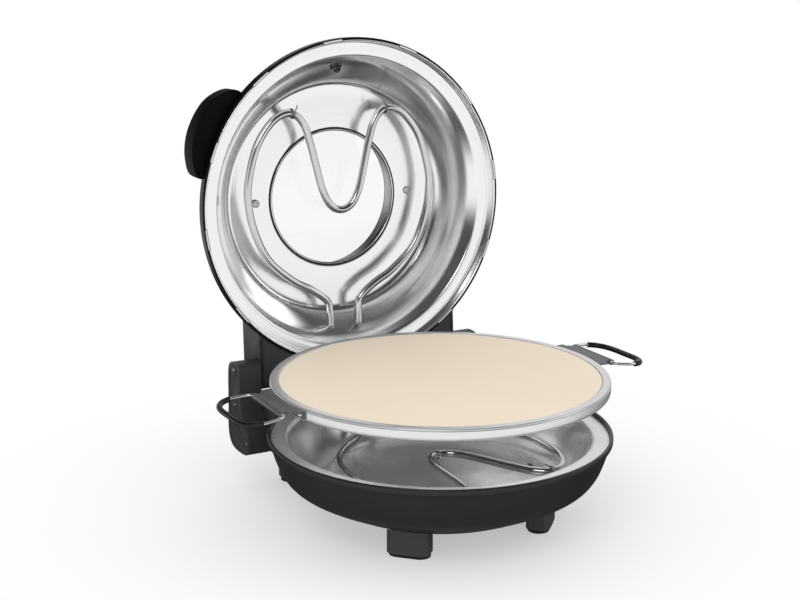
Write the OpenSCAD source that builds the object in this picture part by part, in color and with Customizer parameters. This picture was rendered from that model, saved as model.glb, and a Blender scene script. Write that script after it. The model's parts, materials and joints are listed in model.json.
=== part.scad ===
// Electric pizza maker: a bowl-shaped heated base, a removable stone tray with two
// folding bail handles, and a domed heated lid with a window, on a rear hinge.
// Millimetres, +Z up, +X to the right, +Y to the rear. The table is at Z = 0.
// Rest pose: lid fully open, tray lifted clear of the base.

/* [Body] */
// Outer radius of the base rim
body_r = 163.3; // [158:0.1:168]
// Height of the base rim above the table
rim_z = 87; // [85:0.5:89]
// Height of the flat floor of the base bowl above the table
floor_z = 17; // [15:0.5:19]
// Width of each foot along the rim
foot_w = 39; // [34:1:46]
// Thickness of the black sheet-metal shells
shell_t = 1.4; // [1.2:0.1:1.8]
// Thickness of the steel liners
sheet = 0.8; // [0.6:0.1:1]

/* [Lid] */
// Opening angle of the lid in the rest pose
open_deg = 92; // [88:1:94]
// Overall depth of the lid above its rim
lid_depth = 87; // [85:0.5:92]
// Radius of the window opening
window_r = 71.5; // [66:0.5:74]
// Diameter of the tubular heating elements
tube_d = 8; // [6:0.5:8.5]
// Reach of the lid handle outside the lid rim
handle_reach = 24; // [18:0.5:27]

/* [Hinge] */
// Width of each hinge block
block_w = 24; // [20:1:28]
// Diameter of the hinge pins
pin_d = 8; // [6:0.5:9]

/* [Tray] */
// Height of the tray above its seat in the rest pose
tray_lift = 42.5; // [36:0.5:43]
// Width of the flat tray rim around the stone
tray_rim_w = 8; // [6:0.5:10]
// Length of each bail handle beyond its pivot
bail_reach = 38; // [32:1:40]
// Half width of each bail handle
bail_half = 40; // [36:1:42]
// Diameter of the bail wire
wire_d = 2.8; // [2.4:0.1:3.6]

/* [Hidden] */
gap = 0.3;
k = body_r / 163.3;
tray_r = body_r - 3.7;
tray_top = rim_z + 10.5;
tray_h = 11.5;
lid_r = body_r + 3;
lid_z = rim_z + 11;
axis_y = body_r + 8.7;
axis_z = rim_z + 17.5;
open_a = open_deg;
tower_half = 112;
block_in = tower_half + 1.5;
tube_r = tube_d / 2;
heat_z = 58;
heat_turn = 11.2;
lid_heat_h = 37;
disc_h = 57;
bail_x = 175 * k;
bail_z = tray_top - 3.6;
droop = 6;
wire_r = wire_d / 2;

black = [0.07, 0.07, 0.075];
dark = [0.16, 0.16, 0.17];
steel = [0.78, 0.78, 0.77];
grey = [0.38, 0.38, 0.39];
cream = [0.93, 0.87, 0.77];

// Smooth open curve through hand-set points
function blend(a, b, c, d, t) =
    0.5 * (2 * b + (c - a) * t + (2 * a - 5 * b + 4 * c - d) * t * t
    + (3 * b - a - 3 * c + d) * t * t * t);
function curve(p, n) = [
    for (i = [0:len(p) - 2], j = [0:n - 1])
        blend(p[max(i - 1, 0)], p[i], p[i + 1], p[min(i + 2, len(p) - 1)], j / n),
    p[len(p) - 1]];
// Smooth closed curve through hand-set points
function ring_curve(p, n) = let (m = len(p)) [
    for (i = [0:m - 1], j = [0:n - 1])
        blend(p[(i + m - 1) % m], p[i], p[(i + 1) % m], p[(i + 2) % m], j / n)];
function unit(v) = v / norm(v);
function way(p, i) = unit(p[min(i + 1, len(p) - 1)] - p[max(i - 1, 0)]);
// Parallel copy of an open curve, to the left of its direction when t > 0
function beside(p, t) = [
    for (i = [0:len(p) - 1]) let (u = way(p, i)) p[i] + t * [-u[1], u[0]]];
// Parallel copy of a closed curve
function ring_beside(p, t) = let (m = len(p)) [
    for (i = [0:m - 1])
        let (u = unit(p[(i + 1) % m] - p[(i + m - 1) % m])) p[i] + t * [-u[1], u[0]]];
function back(p) = [for (i = [len(p) - 1:-1:0]) p[i]];
function scaled(p, f) = [for (q = p) [q[0] * f, q[1]]];
function lifted(p, z) = [for (q = p) [q[0], q[1] + z]];

// Solid of revolution from a list of [radius, height] points
module turn(p) {
    rotate_extrude($fn = 128)
        polygon(p);
}

// Profile given as [Y, Z] points, drawn out along X between x0 and x1
module across(p, x0, x1) {
    translate([x0, 0, 0])
        rotate([90, 0, 90])
            linear_extrude(x1 - x0)
                polygon(p);
}

// Round rod along Y
module rod_y(x, y0, y1, z, r) {
    translate([x, y1, z])
        rotate([90, 0, 0])
            cylinder(h = y1 - y0, r = r, $fn = 32);
}

// Round rod along X
module rod_x(x0, x1, y, z, r) {
    translate([x0, y, z])
        rotate([0, 90, 0])
            cylinder(h = x1 - x0, r = r, $fn = 32);
}

// Round tube swept along a flat path of [x, y] points, at height z
module sweep(p, r, z, sides) {
    n = len(p);
    rings = [
        for (i = [0:n - 1], j = [0:sides - 1])
            let (u = way(p, i), a = 360 * (j + 0.5) / sides, c = r * cos(a), s = r * sin(a))
                [p[i][0] - u[1] * c, p[i][1] + u[0] * c, z + s]];
    walls = [
        for (i = [0:n - 2], j = [0:sides - 1])
            [i * sides + j, (i + 1) * sides + j,
            (i + 1) * sides + (j + 1) % sides, i * sides + (j + 1) % sides]];
    head = [for (j = [0:sides - 1]) j];
    tail = [for (j = [sides - 1:-1:0]) (n - 1) * sides + j];
    polyhedron(rings, concat([head, tail], walls));
}

// Carries lid parts, drawn closed, to the rest pose
module open_lid() {
    translate([0, axis_y, axis_z])
        rotate([-open_a, 0, 0])
            translate([0, -axis_y, -axis_z])
                children();
}

// Carries tray parts, drawn seated, to the rest pose
module raise_tray() {
    translate([0, 0, tray_lift])
        children();
}

// Outside of the base bowl, from the floor to the rim, as fractions of its height
bowl_steps = [[84, 0], [92, 0.02], [101, 0.07], [110, 0.13], [118.5, 0.19],
    [127, 0.25], [135, 0.31], [141.5, 0.365], [146, 0.42], [149.3, 0.48],
    [152.2, 0.55], [154.6, 0.63], [156.6, 0.71], [158.4, 0.79], [160.2, 0.87],
    [161.4, 0.91]];
bowl_out = curve([for (q = bowl_steps) [q[0] * k, floor_z + q[1] * (rim_z - floor_z)]], 3);
bowl_top = bowl_out[len(bowl_out) - 1];

// Inside of the lid shell, heights above the lid rim
dome_out = curve(scaled([[166.3, 4.5], [165.6, 6.5], [161.5, 11], [156, 20], [150.3, 30],
    [144.6, 40], [138.4, 50], [131.6, 60], [124.5, 68], [116.5, 74.5], [106.5, 79.5],
    [96, 82.6], [86, 84.2], [80, 84.6]], k), 3);
dome_fit = [for (q = dome_out) [q[0], q[1] * (lid_depth - 2.4) / 84.6]];

// Steel lid liner, from the skirt to the flat disc
liner_in = curve(scaled([[148, 11.6], [145.6, 13.4], [141.6, 19], [137.6, 26], [133.4, 34],
    [129.2, 41.5], [124.9, 48.6], [121.2, 53.4], [117, 56.2], [111.5, 57]], k), 3);

// Steel base dish, from the flange to the flat floor
dish_in = curve([for (q = [[146, 1], [143.5, 0.97], [140.5, 0.88], [137, 0.74],
    [133, 0.56], [128.5, 0.38], [123, 0.21], [116.5, 0.08], [110, 0.015], [104, 0]])
    [q[0] * k, 39 + q[1] * (rim_z - 1.6 - 39)]], 3);

// Centre line of one half of the M-shaped heating element
half_m = [[16.3, -141], [16.3, -132], [16.3, -123], [16.7, -116], [20, -105], [37, -92], [58, -80], [84, -56],
    [99, -23], [104, 8], [101.5, 31], [92.5, 60], [77, 82], [62, 91], [50, 90],
    [40, 79], [33.5, 60], [27.5, 36], [21, 11], [12, -5.5]];
mirrored_m = [for (q = half_m) [-q[0], q[1]]];
m_path = curve(concat(mirrored_m, [[0, -11]], back(half_m)), 3);

// Side outline of a hinge block in Y and Z
block_line = ring_curve([[162.5, 122.5], [165, 125.6], [172, 126.4], [180, 126], [187, 122.6],
    [190.4, 115], [191.4, 100], [192, 82], [193.2, 66], [193.6, 53], [191, 43.6],
    [184.5, 37.4], [174, 35], [160, 35], [149, 36.2], [143.4, 39.6], [141.2, 46],
    [141.2, 54], [144, 61], [150.6, 66.4], [157, 75], [160.8, 88], [161.4, 105]], 2);
// Hollow of a hinge block, and the sunk panel of its cover, in Y and Z
block_room = [[165.4, 120], [170, 123], [180, 122.6], [186.2, 115], [188, 100], [189.4, 66],
    [190, 54], [187.4, 45.4], [181, 39.8], [160, 38.6], [150, 39.8], [145.2, 45], [145.2, 53],
    [150, 60.6], [157, 66.4], [162.4, 78], [164.9, 92], [165.1, 106]];
block_at = [0, axis_y - 172, axis_z - 104.5];

// Side outline of the rear housing in Y and Z
housing_line = [[110, 54], [122, 42], [137, 27], [143, 24], [176, 24], [183, 27],
    [187.5, 34], [189, 44], [189, 78], [187.5, 85], [183, 89], [178, 90], [110, 90]];
// Half of the plan of the rear housing in X and Y
housing_plan = [[0, 112], [78, 116], [92, 121], [103, 129], [110, 137], [block_in - 0.3, 146],
    [block_in - 0.3, 195], [0, 195]];

// Half of the plan of the hollow in the rear housing
housing_room = [[0, 115], [77, 119], [90, 124.4], [100.6, 132], [107.4, 140],
    [block_in - 3.2, 148], [block_in - 3.2, 196], [0, 196]];

// Side outline of the lid tower in Y and Z, lid closed
tower_line = [[96, 100.2], [128, 100], [174, 98.9], [178.6, 100.2], [180.9, 104],
    [181, 134], [179.4, 139.4], [174.6, 142], [96, 142]];
tower_at = [0, axis_y - 172, axis_z - 104.5];
// Screws of the tower cover, in X and Y
tower_screw_at = [for (x = [-1, 1], y = [150, 172]) [x * (tower_half - 10), y + tower_at[1]]];

// Screw with a domed cross-slotted head, head up, shank below
module screw(head_r, head_h, shank_r, shank_l) {
    difference() {
        union() {
            cylinder(h = head_h * 0.55, r = head_r, $fn = 32);
            translate([0, 0, head_h * 0.55])
                cylinder(h = head_h * 0.45, r1 = head_r, r2 = head_r * 0.7, $fn = 32);
            translate([0, 0, -shank_l])
                cylinder(h = shank_l + 0.01, r = shank_r, $fn = 32);
        }
        translate([-head_r * 0.55, -0.3, head_h * 0.45])
            cube([head_r * 1.1, 0.6, head_h]);
        translate([-0.3, -head_r * 0.55, head_h * 0.45])
            cube([0.6, head_r * 1.1, head_h]);
    }
}

// Envelope of the base bowl, grown by the clearance, for cutting its neighbours
module bowl_space(more) {
    turn(concat([[0, floor_z - more - 20]], [[84 * k, floor_z - more - 20]],
        beside(bowl_out, -more), [[body_r + more, bowl_top[1]], [body_r + more, 160],
        [0, 160]]));
}

// Positions of the four feet: [x, y, turn]
front_feet = [[-70 * k, -70 * k, -45], [70 * k, -70 * k, 45]];
rear_feet = [[-76 * k, 157 + body_r - 163.3, 180], [76 * k, 157 + body_r - 163.3, 180]];

// Positions of the fixing screws of the dish, in X and Y
dish_screw_at = [[-92 * k, 16 * k], [92 * k, -16 * k]];

module base_shell() {
    color(black)
        difference() {
            union() {
                turn(concat([[0, floor_z]], bowl_out, [[bowl_top[0], rim_z - 5.8],
                    [body_r, rim_z - 5.4], [body_r, rim_z - 0.9], [body_r - 0.9, rim_z],
                    [body_r - 3.4, rim_z], [body_r - 3.4, rim_z - 2.6],
                    [146 * k + 2, rim_z - 2.6], [146 * k + 2, rim_z - 4.2],
                    [body_r - 4.4, rim_z - 4.2], [body_r - 4.4, bowl_top[1]]],
                    back(beside(bowl_out, shell_t)), [[0, floor_z + shell_t]]));
                for (f = front_feet)
                    translate([f[0], f[1], floor_z + 7])
                        cylinder(h = 4, r = 5, $fn = 32);
                for (q = dish_screw_at)
                    translate([q[0], q[1], floor_z + 4])
                        cylinder(h = 34.7 - floor_z - sheet, r = 5, $fn = 32);
            }
            for (q = dish_screw_at)
                translate([q[0], q[1], 27])
                    cylinder(h = 20, r = 1.9, $fn = 32);
            for (f = front_feet)
                translate([f[0], f[1], floor_z - 1])
                    cylinder(h = 20, r = 2.3, $fn = 32);
            for (x = [-60, 60])
                rod_y(x, 120, 170 * k, 66, 6);
        }
}

module base_dish() {
    color(steel)
        difference() {
            turn(concat([[0, 39]], back(dish_in), [[body_r - 3.8, rim_z - 1.6],
                [body_r - 3.8, rim_z - 1.6 - sheet], [146 * k + 0.9, rim_z - 1.6 - sheet]],
                [for (i = [3:len(dish_in) - 1]) beside(dish_in, sheet)[i]],
                [[0, 39 - sheet]]));
            base_heat_place()
                for (x = [-16.3, 16.3])
                    rod_y(x, 110, 160, heat_z, 6.4);
            for (q = dish_screw_at)
                translate([q[0], q[1], 30])
                    cylinder(h = 20, r = 2, $fn = 32);
            base_heat_place()
                for (q = base_tie_at)
                    translate([q[0], q[1], 30])
                        cylinder(h = 20, r = 1.5, $fn = 32);
        }
}

// Wire holders of the lower heater, before it is turned: two outer bends and the middle
base_tie_at = [[-53, -91], [53, -91], [0, 11]];

// Places heater parts, drawn straight, into the base
module base_heat_place() {
    translate([4, -2.6, 0])
        rotate([0, 0, heat_turn])
            scale(k)
                translate([0, 0, heat_z * (1 / k - 1)])
                    children();
}

module base_heater() {
    color(grey)
        base_heat_place()
            sweep([for (q = m_path) [q[0], -q[1]]], tube_r, heat_z, 12);
}

// Wire holder: an eye round the tube and a leg to the sheet, eye centre at the origin
module holder(leg) {
    rotate([90, 0, 90])
        rotate_extrude($fn = 48)
            translate([tube_r + 1.1, 0])
                circle(r = 0.8, $fn = 16);
    translate([0, 0, tube_r + 1.2])
        cylinder(h = leg - tube_r - 1.2, r = 0.9, $fn = 16);
    translate([0, 0, leg - 0.6])
        cylinder(h = 1.4, r = 2.6, $fn = 24);
}

module base_heater_holders() {
    color(steel)
        base_heat_place()
            for (q = base_tie_at)
                translate([q[0], q[1], heat_z])
                    rotate([180, 0, 0])
                        holder(heat_z - 37.3);
}

// Ceramic bush on a heater end, bore along Y; its collar starts at the given distance from y
module bush(x, y, z, collar) {
    difference() {
        union() {
            rod_y(x, y + 6, y + collar + 2.2, z, 6);
            rod_y(x, y + collar, y + collar + 2.2, z, 6.8);
        }
        rod_y(x, y - 6, y + 18, z, tube_r + gap);
    }
}

module base_heater_bushes() {
    color([0.9, 0.89, 0.85])
        base_heat_place()
            for (x = [-16.3, 16.3])
                bush(x, 127, heat_z, 11.8);
}

module base_dish_screws() {
    color(steel)
        for (q = dish_screw_at)
            translate([q[0], q[1], 39.2])
                screw(3.6, 2.2, 1.6, 8);
}

module base_thermostat() {
    color([0.25, 0.22, 0.2])
        translate([36, 42, 0])
            union() {
                translate([0, 0, 29.5])
                    cylinder(h = 9.2 - sheet, r = 8, $fn = 48);
                translate([-12, -3, 36.9 - sheet])
                    cube([24, 6, 1.8]);
                for (x = [-4, 4])
                    translate([x - 0.4, -3, 24])
                        cube([0.8, 6, 6]);
            }
}

module base_thermal_fuse() {
    color([0.82, 0.8, 0.72])
        union() {
            rod_x(-48, -32, 44, 35.7 - sheet, 3);
            rod_x(-60, -20, 44, 35.7 - sheet, 0.7);
        }
}

// One foot: a block with rounded ends, its long side along X
module foot(top) {
    r = 9;
    difference() {
        union() {
            translate([-foot_w / 2 + r, -11, 3])
                cube([foot_w - 2 * r, 22, top - 3]);
            for (s = [-1, 1])
                translate([s * (foot_w / 2 - r), 0, 3])
                    intersection() {
                        cylinder(h = top - 3, r = 11.5, $fn = 48);
                        translate([-r, -11, 0])
                            cube([2 * r, 22, top]);
                    }
        }
        translate([0, 0, -1])
            cylinder(h = 9, r = 4.6, $fn = 32);
        cylinder(h = top + 1, r = 2.3, $fn = 32);
    }
}

module front_foot(f) {
    color(dark)
        difference() {
            translate([f[0], f[1], 0])
                rotate([0, 0, f[2]])
                    foot(36);
            bowl_space(gap);
        }
}

module foot_front_left() {
    front_foot(front_feet[0]);
}

module foot_front_right() {
    front_foot(front_feet[1]);
}

module rear_foot(f) {
    color(dark)
        difference() {
            translate([f[0], f[1], 0])
                foot(23.7);
            bowl_space(gap);
        }
}

module foot_rear_left() {
    rear_foot(rear_feet[0]);
}

module foot_rear_right() {
    rear_foot(rear_feet[1]);
}

module foot_pads() {
    color([0.03, 0.03, 0.03])
        for (f = concat(front_feet, rear_feet))
            translate([f[0], f[1], 0])
                rotate([0, 0, f[2]])
                    difference() {
                        union() {
                            translate([-foot_w / 2 + 9, -10, 0])
                                cube([foot_w - 18, 20, 2.8]);
                            for (s = [-1, 1])
                                translate([s * (foot_w / 2 - 10), 0, 0])
                                    cylinder(h = 2.8, r = 9.9, $fn = 48);
                        }
                        translate([0, 0, -1])
                            cylinder(h = 6, r = 5, $fn = 32);
                    }
}

module foot_screws() {
    color(steel)
        union() {
            for (f = front_feet)
                translate([f[0], f[1], 7.6])
                    rotate([180, 0, 0])
                        screw(3.8, 2.4, 1.9, 17);
            for (f = rear_feet)
                translate([f[0], f[1], 7.6])
                    rotate([180, 0, 0])
                        screw(3.8, 2.4, 1.9, 22);
        }
}

// Wall thickness of the rear housing and the hinge blocks
wall = 2.6;
// Screws of the bottom plate, in X and Y
plate_screw_at = [[-44, 151], [44, 151], [-62, 172], [62, 172]];
// Half width of the low part of the rear housing
low_half = block_in - 16.5;

// Block with the plan of the rear housing
module housing_block(plan) {
    translate([0, block_at[1], 10])
        linear_extrude(100)
            polygon(concat(plan, back([for (q = plan) if (q[0] > 0) [-q[0], q[1]]])));
}

module rear_housing() {
    color(black)
        difference() {
            intersection() {
                translate([0, block_at[1], 0])
                    across(housing_line, -block_in + 0.3, block_in - 0.3);
                housing_block(housing_plan);
            }
            difference() {
                intersection() {
                    translate([0, block_at[1], 0])
                        across([[112, 56], [126, 42], [141, 27], [146, 20], [180, 20],
                            [186.4, 34], [186.4, 80], [180, 87.4], [112, 87.4]],
                            -block_in + 0.3 + wall, block_in - 0.3 - wall);
                    housing_block(housing_room);
                }
                bowl_space(wall + 1.2);
                for (q = plate_screw_at)
                    translate([q[0], q[1] + block_at[1], 20])
                        cylinder(h = 70, r = 4.2, $fn = 32);
                for (s = [0, 1])
                    mirror([s, 0, 0])
                        translate([low_half - wall, 90, 0])
                            cube([40, 120, 40.6]);
            }
            bowl_space(gap);
            for (s = [0, 1])
                mirror([s, 0, 0])
                    translate([low_half, 90, 0])
                        cube([40, 120, 38]);
            translate([-low_half + 2.4, 145 + block_at[1], 23])
                cube([2 * low_half - 4.8, 38, 2.8]);
            for (q = plate_screw_at)
                translate([q[0], q[1] + block_at[1], 20])
                    cylinder(h = 20, r = 1.7, $fn = 32);
            for (x = [-60, 60])
                rod_y(x, 120, 172 + block_at[1], 66, 6);
            rod_y(66, 180 + block_at[1], 200 + block_at[1], 56, 8.3);
            for (s = [-1, 1])
                rod_x(s * tower_half - 12, s * tower_half + 12, 176 + block_at[1], 56, 1.9);
        }
}

module rear_bottom_plate() {
    color(dark)
        difference() {
            translate([-low_half + 2.7, 145.3 + block_at[1], 23.9])
                cube([2 * low_half - 5.4, 37.4, 1.7]);
            for (q = plate_screw_at)
                translate([q[0], q[1] + block_at[1], 20])
                    cylinder(h = 20, r = 2.1, $fn = 32);
            for (f = rear_feet)
                translate([f[0], f[1], 20])
                    cylinder(h = 20, r = 2.2, $fn = 32);
        }
}

module bottom_plate_screws() {
    color(steel)
        for (q = plate_screw_at)
            translate([q[0], q[1] + block_at[1], 23.7])
                rotate([180, 0, 0])
                    screw(3.4, 2, 1.4, 10);
}

module terminal_block() {
    color([0.86, 0.85, 0.8])
        difference() {
            translate([20, 160 + block_at[1], 25.8])
                cube([36, 16, 16]);
            for (x = [26, 38, 50])
                rod_y(x, 150 + block_at[1], 190 + block_at[1], 34, 2.2);
            for (x = [26, 38, 50])
                translate([x, 168 + block_at[1], 37])
                    cylinder(h = 8, r = 2, $fn = 24);
        }
}

module cord_inlet() {
    color(dark)
        translate([0, block_at[1], 0])
            difference() {
                union() {
                    rod_y(66, 180, 194, 56, 8);
                    rod_y(66, 189.3, 192, 56, 11.5);
                    rod_y(66, 181, 186, 56, 9.6);
                }
                rod_y(66, 170, 200, 56, 4);
            }
}

// Hinge block of the left side; the right one is its mirror image
module block_body() {
    translate(block_at)
        difference() {
            across(block_line, block_in, block_in + block_w - 3);
            difference() {
                across(block_room, block_in + wall, block_in + block_w);
                for (q = cover_screw_at)
                    rod_x(block_in, block_in + block_w, q[0], q[1], 4.4);
                rod_x(block_in, block_in + block_w - 7.4, 172, 104.5, pin_d / 2 + 4);
            }
            for (q = cover_screw_at)
                rod_x(block_in + 4, block_in + block_w, q[0], q[1], 1.7);
            rod_x(block_in - 1, block_in + block_w, 172, 104.5, pin_d / 2 + gap);
            rod_x(block_in - 1, block_in + 8, 176, 56, 1.9);
        }
}

// Fixing screws of a block cover in Y and Z
cover_screw_at = [[177.4, 118.4], [177.4, 82], [150.4, 48]];

module hinge_block_left() {
    color(black)
        mirror([1, 0, 0])
            block_body();
}

module hinge_block_right() {
    color(black)
        block_body();
}

// Side cover with a raised border round a sunk panel
module block_lid() {
    translate(block_at)
        difference() {
            across(block_line, block_in + block_w - 2.9, block_in + block_w);
            difference() {
                across(block_room, block_in + block_w - 0.9, block_in + block_w + 1);
                for (q = cover_screw_at)
                    rod_x(block_in, block_in + block_w + 1, q[0], q[1], 5.6);
            }
            for (q = cover_screw_at)
                rod_x(block_in, block_in + block_w + 1, q[0], q[1], 1.9);
            for (q = cover_screw_at)
                rod_x(block_in + block_w - 1.7, block_in + block_w + 1, q[0], q[1], 3.9);
        }
}

module block_cover_left() {
    color(dark)
        mirror([1, 0, 0])
            block_lid();
}

module block_cover_right() {
    color(dark)
        block_lid();
}

module block_screws() {
    color(steel)
        for (s = [0, 1])
            mirror([s, 0, 0])
                translate(block_at)
                    for (q = cover_screw_at)
                        translate([block_in + block_w - 1.6, q[0], q[1]])
                            rotate([0, 90, 0])
                                screw(3.4, 1.9, 1.4, 9);
}

module block_mount_screws() {
    color(steel)
        for (s = [0, 1])
            mirror([s, 0, 0])
                translate([block_in + wall + 0.2, 176 + block_at[1], 56])
                    rotate([0, 90, 0])
                        screw(3.6, 2, 1.6, 10);
}

module hinge_pins() {
    color(steel)
        for (s = [0, 1])
            mirror([s, 0, 0])
                union() {
                    rod_x(tower_half - 20, block_in + block_w - 4, axis_y, axis_z, pin_d / 2);
                    rod_x(block_in + block_w - 7, block_in + block_w - 4, axis_y,
                        axis_z, pin_d / 2 + 2);
                }
}

// Envelope of the lid dome, grown by the clearance, for cutting its neighbours
module dome_space(more) {
    translate([0, 0, lid_z])
        turn(concat([[0, -40], [lid_r + more, -40]], [[lid_r + more, 4.5]],
            beside(dome_fit, -more), [[0, lid_depth + 2]]));
}

module lid_shell() {
    color(black)
        open_lid()
            translate([0, 0, lid_z])
                difference() {
                    union() {
                        turn(concat([[lid_r - 2.5, 0], [lid_r - 0.8, 0], [lid_r, 0.8],
                            [lid_r, 4.5]], dome_fit, [[window_r + 4.2, lid_depth - 2.4],
                            [window_r + 4.2, lid_depth - 4.4]],
                            back([for (i = [3:len(dome_fit) - 1]) beside(dome_fit, shell_t)[i]]),
                            [[lid_r - 2.5, 5.5]]));
                        for (x = [-88, 88])
                            translate([x * k, 0, disc_h + sheet + 0.3])
                                cylinder(h = lid_depth - 4.6 - disc_h - sheet, r = 5, $fn = 32);
                    }
                    for (x = [-88, 88])
                        translate([x * k, 0, disc_h])
                            cylinder(h = 12, r = 1.9, $fn = 32);
                    for (x = [-49, 49])
                        rod_y(x, 120 * k, 160 * k, 32, 5);
                    for (a = [203, 215])
                        rotate([0, 0, a])
                            rod_x(140, 172 * k, 0, 19, 1.9);
                }
}

module lid_liner() {
    color(steel)
        open_lid()
            translate([0, 0, lid_z])
                difference() {
                    turn(concat([[lid_r - 2.8, 0.9], [lid_r - 2.8, 2],
                        [158.4 * k, 7.9]], [for (i = [0:len(liner_in) - 1])
                        beside(liner_in, -sheet)[i]],
                        [[window_r, disc_h + sheet], [window_r, disc_h]], back(liner_in),
                        [[158 * k, 7], [lid_r - 4, 0.9]]));
                    for (x = [-16.3, 16.3])
                        scale(k)
                            rod_y(x, 110, 160, lid_heat_h / k, 6.4);
                    for (x = [-53, 53])
                        translate([x * k, -91 * k, 50])
                            cylinder(h = 20, r = 1.5, $fn = 32);
                    for (x = [-88, 88])
                        translate([x * k, 0, 50])
                            cylinder(h = 20, r = 2, $fn = 32);
                    clip_place()
                        translate([0, 0, -10])
                            cylinder(h = 20, r = 2.2, $fn = 32);
                }
}

// Bright metal tabs spaced round the lid rim, between the black lip and the liner
module lid_rim_tabs() {
    color(steel)
        open_lid()
            translate([0, 0, lid_z])
                for (i = [0:11])
                    rotate([0, 0, 30 * i + 18.3])
                        rotate_extrude(angle = 7.4, $fn = 96)
                            polygon([[lid_r - 4, -0.3], [lid_r - 2.7, -0.3],
                                [lid_r - 2.7, 0.6], [lid_r - 4, 0.6]]);
}

module lid_heater() {
    color(grey)
        open_lid()
            translate([0, 0, lid_z])
                scale(k)
                    sweep([for (q = m_path) [q[0], -q[1]]], tube_r, lid_heat_h / k, 12);
}

module lid_heater_holders() {
    color(steel)
        open_lid()
            translate([0, 0, lid_z])
                for (x = [-53, 53])
                    translate([x * k, -91 * k, lid_heat_h])
                        holder(disc_h + sheet + 0.9 - lid_heat_h);
}

module lid_heater_bushes() {
    color([0.9, 0.89, 0.85])
        open_lid()
            translate([0, 0, lid_z])
                for (x = [-16.3, 16.3])
                    bush(x * k, 127 * k, lid_heat_h, 8.3);
}

module lid_liner_screws() {
    color(steel)
        open_lid()
            translate([0, 0, lid_z])
                for (x = [-88, 88])
                    translate([x * k, 0, disc_h - 0.2])
                        rotate([180, 0, 0])
                            screw(4.2, 2.4, 1.6, 9);
}

// Places the clip bolt square to the cove wall, near the front of the lid
module clip_place() {
    rotate([0, 0, -3.3])
        translate([0, -137.6 * k, 26])
            rotate([-119.8, 0, 0])
                children();
}

// Bolt with its nut and washer on the cove wall
module lid_clip_bolt() {
    color(steel)
        open_lid()
            translate([0, 0, lid_z])
                clip_place()
                    union() {
                        translate([0, 0, -8])
                            cylinder(h = 15, r = 1.9, $fn = 32);
                        translate([0, 0, 0.4])
                            cylinder(h = 1.2, r = 6, $fn = 32);
                        translate([0, 0, 1.6])
                            cylinder(h = 3.6, r = 4.4, $fn = 6);
                    }
}

module lid_window_glass() {
    color([0.8, 0.88, 0.86, 0.35])
        open_lid()
            translate([0, 0, lid_z + disc_h + sheet + 0.5])
                cylinder(h = 4, r = window_r + 1.6, $fn = 128);
}

module lid_window_gasket() {
    color([0.05, 0.05, 0.05])
        open_lid()
            translate([0, 0, lid_z + disc_h - 0.5])
                turn([[window_r - 1.3, -0.2], [window_r - 0.3, -0.2],
                    [window_r - 0.3, sheet + 0.8], [window_r - 1.3, sheet + 0.8]]);
}

module lid_window_sleeve() {
    color(steel)
        open_lid()
            translate([0, 0, lid_z])
                turn([[window_r, disc_h + 5.7], [window_r + 2, disc_h + 5.7],
                    [window_r + 2, disc_h + 1.1], [window_r + 6, disc_h + 1.1],
                    [window_r + 6, disc_h + 2.3], [window_r + 3.4, disc_h + 2.3],
                    [window_r + 3.4, lid_depth - 1.4], [window_r, lid_depth - 1.4]]);
}

module lid_window_trim() {
    color(dark)
        open_lid()
            translate([0, 0, lid_z])
                turn([[window_r, lid_depth - 1.1], [window_r + 3.8, lid_depth - 1.1],
                    [window_r + 3.8, lid_depth - 2.1], [window_r + 9, lid_depth - 2.1],
                    [window_r + 9, lid_depth - 1], [window_r + 7, lid_depth + 0.4],
                    [window_r, lid_depth + 0.4]]);
}

// Outline of the lid handle seen from above: [radius beyond the rim, angle from -X]
module handle_plan(grow) {
    spots = [[-6, 46], [7.6, 44.8], [16.4, 41.4], [22.6, 37], [handle_reach, 32],
        [23.2, 27], [20.4, 22.6], [16, 18.6], [8, 14.2], [-6, 12.8]];
    line = curve([for (q = spots) let (r = lid_r + q[0] - (q[0] > 0 ? grow : 0), a = 180 + q[1])
        [r * cos(a), r * sin(a)]], 4);
    polygon(line);
}

module lid_handle() {
    color(black)
        open_lid()
            difference() {
                union() {
                    translate([0, 0, lid_z + 10.4])
                        linear_extrude(17)
                            handle_plan(0);
                    translate([0, 0, lid_z + 9])
                        linear_extrude(21)
                            handle_plan(1.6);
                    translate([0, 0, lid_z + 7.6])
                        linear_extrude(24)
                            handle_plan(4);
                }
                dome_space(gap);
                for (a = [203, 215])
                    rotate([0, 0, a])
                        rod_x(140, 172 * k, 0, lid_z + 19, 1.9);
            }
}

module lid_handle_screws() {
    color(steel)
        open_lid()
            for (a = [203, 215])
                rotate([0, 0, a])
                    translate([lid_r - 14, 0, lid_z + 19])
                        rotate([0, -90, 0])
                            screw(3.6, 2, 1.6, 15.6);
}

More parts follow.
